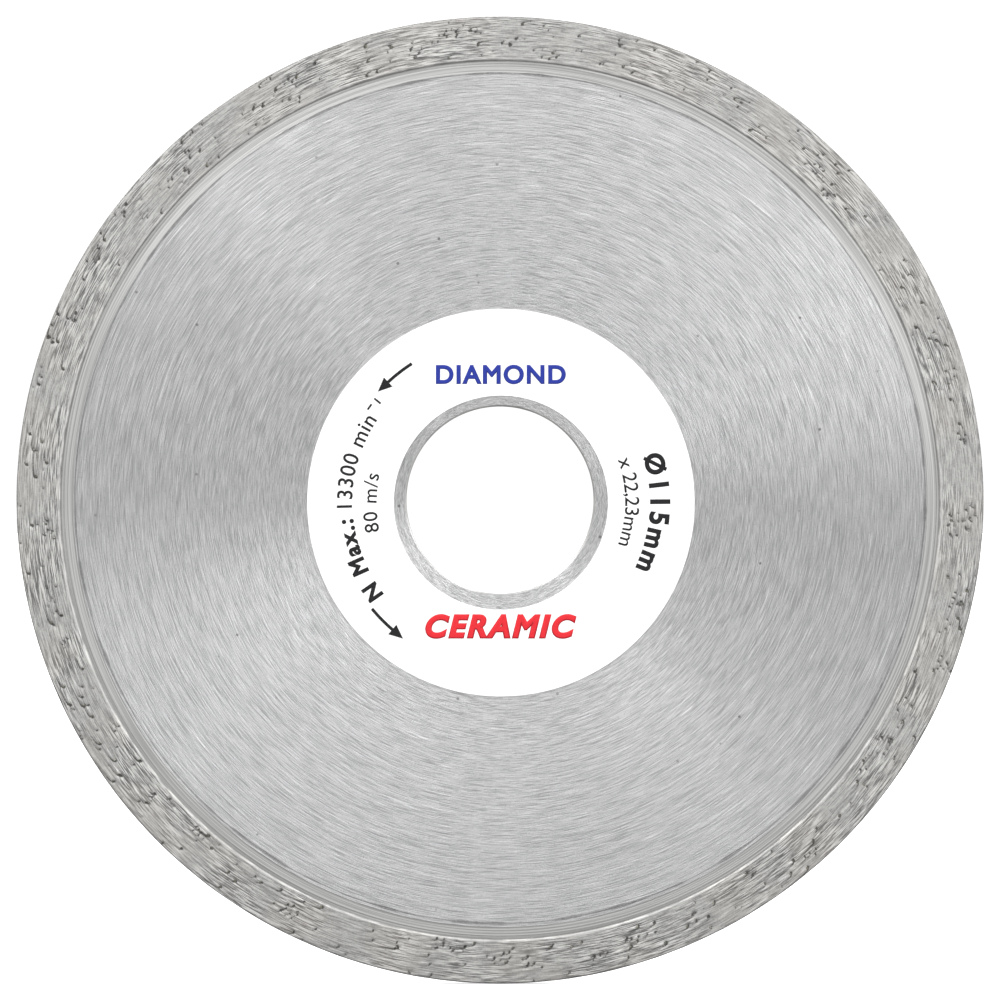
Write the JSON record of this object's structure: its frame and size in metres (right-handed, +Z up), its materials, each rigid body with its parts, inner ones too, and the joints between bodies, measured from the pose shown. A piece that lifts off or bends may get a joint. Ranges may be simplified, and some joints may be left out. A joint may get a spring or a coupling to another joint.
{
  "type": "continuous-rim diamond blade",
  "caption": "Round steel cutting disc with a central arbor bore, a ring of film label, and a continuous sintered rim that holds diamond grit.",
  "frame": {"origin": "centre of the arbor bore, halfway through the steel core", "axes": "+Y along the blade's axis, from the printed front face to the plain back face; +Z up, so that the label reads upright; +X to the right as the front is seen"},
  "size_m": [0.115, 0.002, 0.1149],
  "materials": {
    "steel": "cross-ground sheet steel, satin",
    "bond": "sintered metal bond, side-ground and dull",
    "diamond": "glassy crystals",
    "label": "matt white printed film"
  },
  "bodies": {
    "root": {"steel_core": "steel", "diamond_rim": "bond", "diamond_grit": "diamond", "label": "label"}
  },
  "joints": []
}
